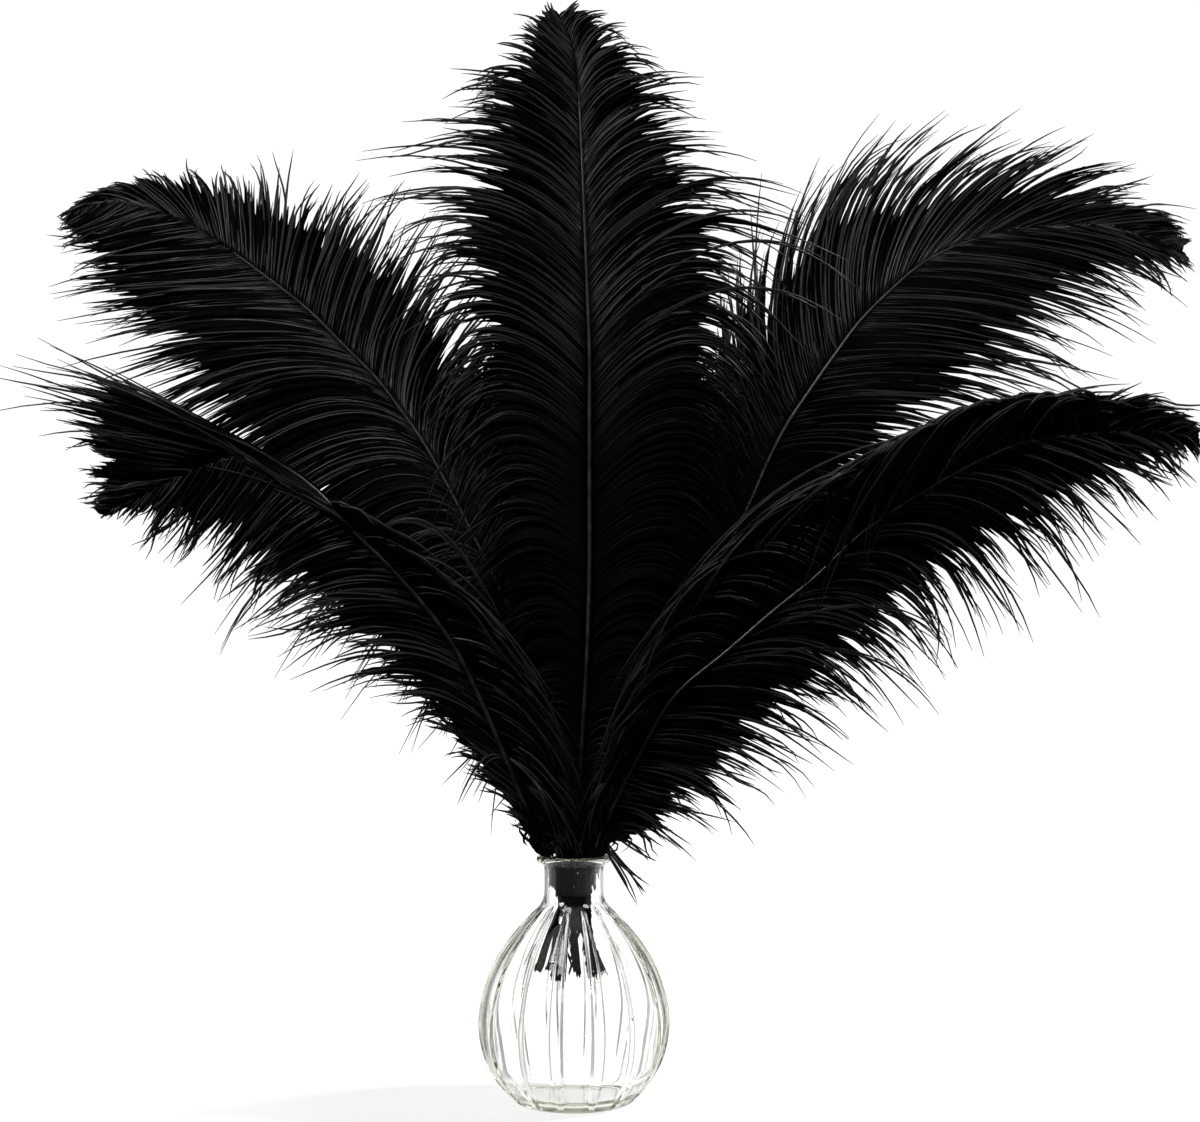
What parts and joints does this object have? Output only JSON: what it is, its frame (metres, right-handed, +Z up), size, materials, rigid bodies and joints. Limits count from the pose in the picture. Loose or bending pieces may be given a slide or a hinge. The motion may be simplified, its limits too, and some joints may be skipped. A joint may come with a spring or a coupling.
{
  "type": "ostrich feathers in a glass vase",
  "caption": "Bunch of long black ostrich plumes fanning out of a small round bottle vase of clear ribbed glass.",
  "frame": {"origin": "middle of the vase's flat underside", "axes": "+Z up along the vase's axis, +X along the wide spread of the fan, -Y towards the front"},
  "size_m": [0.5418, 0.1776, 0.489],
  "materials": {
    "clear_glass": "gloss",
    "black_feather": "matte"
  },
  "bodies": {
    "root": {"vase": "clear_glass", "plume_lower_right": "black_feather", "plume_lower_left": "black_feather", "plume_center": "black_feather", "plume_back_right": "black_feather", "plume_upper_left": "black_feather", "plume_upper_right": "black_feather", "plume_back_left": "black_feather"}
  },
  "joints": []
}
